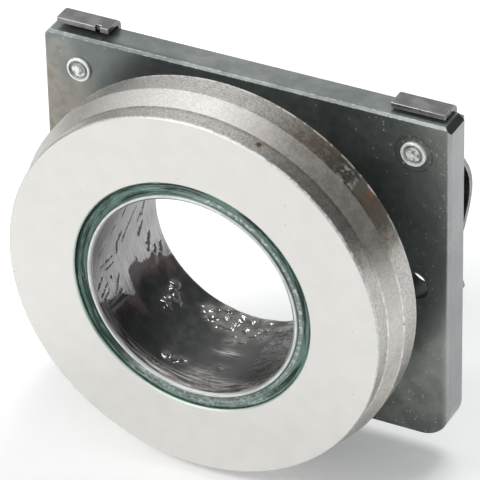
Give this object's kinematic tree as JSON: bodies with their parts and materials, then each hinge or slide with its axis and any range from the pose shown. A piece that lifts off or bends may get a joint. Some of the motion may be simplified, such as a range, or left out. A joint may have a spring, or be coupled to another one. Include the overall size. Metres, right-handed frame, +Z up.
{
  "type": "clutch release bearing",
  "caption": "Release bearing with a turning flat thrust ring on a hub sleeve, carried by a black rectangular plate whose springs clip it to the release fork.",
  "frame": {"origin": "on the bearing axis, in the plane of the plate's front face", "axes": "+Y along the bearing axis toward the fork side, so the thrust face looks toward -Y; +X to the right seen from the thrust face; +Z up toward the edge that the spring tabs hook over"},
  "size_m": [0.0732, 0.0298, 0.0698],
  "materials": {
    "black_carrier": "black oxide, satin, speckled and worn bright along the top edge",
    "spring_steel": "dark blued strip",
    "bright_rivet": "bright plated, staked end",
    "race_steel": "ground",
    "green_seal": "green, greasy and streaked",
    "ground_steel": "ground face, turned outside with brown stain",
    "shield_steel": "pressed sheet",
    "cage_plastic": "plain moulded",
    "ball_steel": "polished"
  },
  "bodies": {
    "carrier": {"carrier": "black_carrier", "fork_spring_left": "spring_steel", "fork_spring_right": "spring_steel", "rivets": "bright_rivet", "inner_race": "race_steel", "front_seal": "green_seal"},
    "thrust_ring": {"thrust_ring": "ground_steel", "rear_shield": "shield_steel"},
    "ball_cage": {"ball_cage": "cage_plastic"},
    "ball_01": {"ball_01": "ball_steel"},
    "ball_02": {"ball_02": "ball_steel"},
    "ball_03": {"ball_03": "ball_steel"},
    "ball_04": {"ball_04": "ball_steel"},
    "ball_05": {"ball_05": "ball_steel"},
    "ball_06": {"ball_06": "ball_steel"},
    "ball_07": {"ball_07": "ball_steel"},
    "ball_08": {"ball_08": "ball_steel"},
    "ball_09": {"ball_09": "ball_steel"},
    "ball_10": {"ball_10": "ball_steel"},
    "ball_11": {"ball_11": "ball_steel"},
    "ball_12": {"ball_12": "ball_steel"},
    "ball_13": {"ball_13": "ball_steel"},
    "ball_14": {"ball_14": "ball_steel"}
  },
  "joints": [
    {"name": "face_spin", "type": "hinge", "parent": "carrier", "child": "thrust_ring", "pos_m": [0, -0.014, 0], "axis": [0, 1, 0], "continuous": true},
    {"name": "cage_spin", "type": "hinge", "parent": "carrier", "child": "ball_cage", "pos_m": [0, -0.0137, 0], "axis": [0, 1, 0], "continuous": true},
    {"name": "ball_01_spin", "type": "hinge", "parent": "ball_cage", "child": "ball_01", "pos_m": [0, -0.0137, 0.027], "axis": [0, 0.8192, 0.5736], "continuous": true},
    {"name": "ball_02_spin", "type": "hinge", "parent": "ball_cage", "child": "ball_02", "pos_m": [0.01171, -0.0137, 0.02433], "axis": [0.2489, 0.8192, 0.5168], "continuous": true},
    {"name": "ball_03_spin", "type": "hinge", "parent": "ball_cage", "child": "ball_03", "pos_m": [0.02111, -0.0137, 0.01683], "axis": [0.4484, 0.8192, 0.3576], "continuous": true},
    {"name": "ball_04_spin", "type": "hinge", "parent": "ball_cage", "child": "ball_04", "pos_m": [0.02632, -0.0137, 0.00601], "axis": [0.5592, 0.8192, 0.1276], "continuous": true},
    {"name": "ball_05_spin", "type": "hinge", "parent": "ball_cage", "child": "ball_05", "pos_m": [0.02632, -0.0137, -0.00601], "axis": [0.5592, 0.8192, -0.1276], "continuous": true},
    {"name": "ball_06_spin", "type": "hinge", "parent": "ball_cage", "child": "ball_06", "pos_m": [0.02111, -0.0137, -0.01683], "axis": [0.4484, 0.8192, -0.3576], "continuous": true},
    {"name": "ball_07_spin", "type": "hinge", "parent": "ball_cage", "child": "ball_07", "pos_m": [0.01171, -0.0137, -0.02433], "axis": [0.2489, 0.8192, -0.5168], "continuous": true},
    {"name": "ball_08_spin", "type": "hinge", "parent": "ball_cage", "child": "ball_08", "pos_m": [0, -0.0137, -0.027], "axis": [0, 0.8192, -0.5736], "continuous": true},
    {"name": "ball_09_spin", "type": "hinge", "parent": "ball_cage", "child": "ball_09", "pos_m": [-0.01171, -0.0137, -0.02433], "axis": [-0.2489, 0.8192, -0.5168], "continuous": true},
    {"name": "ball_10_spin", "type": "hinge", "parent": "ball_cage", "child": "ball_10", "pos_m": [-0.02111, -0.0137, -0.01683], "axis": [-0.4484, 0.8192, -0.3576], "continuous": true},
    {"name": "ball_11_spin", "type": "hinge", "parent": "ball_cage", "child": "ball_11", "pos_m": [-0.02632, -0.0137, -0.00601], "axis": [-0.5592, 0.8192, -0.1276], "continuous": true},
    {"name": "ball_12_spin", "type": "hinge", "parent": "ball_cage", "child": "ball_12", "pos_m": [-0.02632, -0.0137, 0.00601], "axis": [-0.5592, 0.8192, 0.1276], "continuous": true},
    {"name": "ball_13_spin", "type": "hinge", "parent": "ball_cage", "child": "ball_13", "pos_m": [-0.02111, -0.0137, 0.01683], "axis": [-0.4484, 0.8192, 0.3576], "continuous": true},
    {"name": "ball_14_spin", "type": "hinge", "parent": "ball_cage", "child": "ball_14", "pos_m": [-0.01171, -0.0137, 0.02433], "axis": [-0.2489, 0.8192, 0.5168], "continuous": true}
  ],
  "couplings": [
    {"joint": "cage_spin", "follows": "face_spin", "ratio": 0.54816},
    {"joint": "ball_01_spin", "follows": "face_spin", "ratio": 4.2125},
    {"joint": "ball_02_spin", "follows": "face_spin", "ratio": 4.2125},
    {"joint": "ball_03_spin", "follows": "face_spin", "ratio": 4.2125},
    {"joint": "ball_04_spin", "follows": "face_spin", "ratio": 4.2125},
    {"joint": "ball_05_spin", "follows": "face_spin", "ratio": 4.2125},
    {"joint": "ball_06_spin", "follows": "face_spin", "ratio": 4.2125},
    {"joint": "ball_07_spin", "follows": "face_spin", "ratio": 4.2125},
    {"joint": "ball_08_spin", "follows": "face_spin", "ratio": 4.2125},
    {"joint": "ball_09_spin", "follows": "face_spin", "ratio": 4.2125},
    {"joint": "ball_10_spin", "follows": "face_spin", "ratio": 4.2125},
    {"joint": "ball_11_spin", "follows": "face_spin", "ratio": 4.2125},
    {"joint": "ball_12_spin", "follows": "face_spin", "ratio": 4.2125},
    {"joint": "ball_13_spin", "follows": "face_spin", "ratio": 4.2125},
    {"joint": "ball_14_spin", "follows": "face_spin", "ratio": 4.2125}
  ]
}
